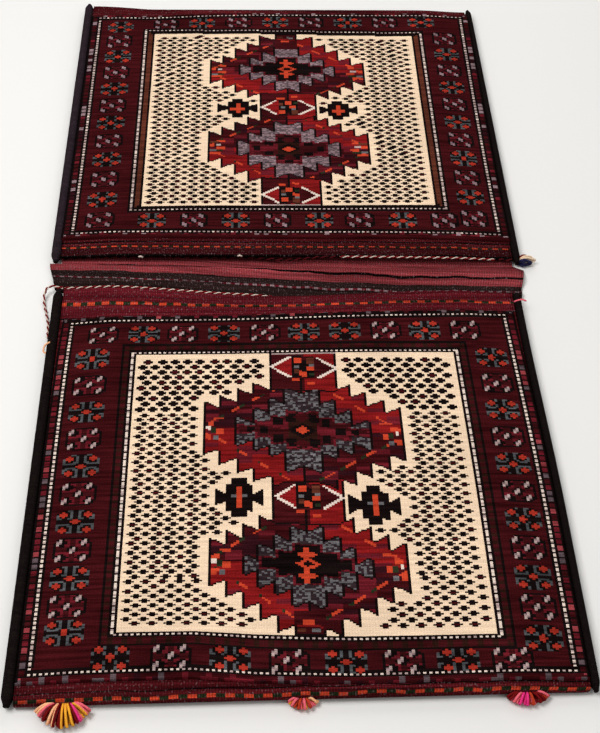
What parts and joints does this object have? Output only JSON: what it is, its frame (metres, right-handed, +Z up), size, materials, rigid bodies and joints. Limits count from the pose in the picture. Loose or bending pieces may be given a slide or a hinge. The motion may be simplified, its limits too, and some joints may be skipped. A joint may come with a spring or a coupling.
{
  "type": "double saddle bag",
  "caption": "Woven double saddle bag lying flat: two piled pockets on one strip, joined by a short bridge, with bound sides, corded mouths and yarn tassels.",
  "frame": {"origin": "on the surface the bag lies on, under the middle of the bridge", "axes": "+Y along the strip from the near pocket to the far one, +X across it to the right, +Z up"},
  "size_m": [0.5961, 1.1517, 0.0202],
  "materials": {
    "wool_cloth": "matt wool, knotted pile and flat weave",
    "goat_hair": "matt dark goat hair, overcast",
    "edge_cord": "two-ply red and cream wool cord",
    "tassel_yarn": "soft loose yarn loops"
  },
  "bodies": {
    "root": {"woven_strip": "wool_cloth", "binding_near_left": "goat_hair", "binding_near_right": "goat_hair", "binding_far_left": "goat_hair", "binding_far_right": "goat_hair", "mouth_cord_near": "edge_cord", "mouth_cord_far": "edge_cord", "cord_tail": "edge_cord", "tassel_near_left": "tassel_yarn", "tassel_near_middle": "tassel_yarn", "tassel_near_right": "tassel_yarn", "tassel_mouth_right": "tassel_yarn"}
  },
  "joints": []
}
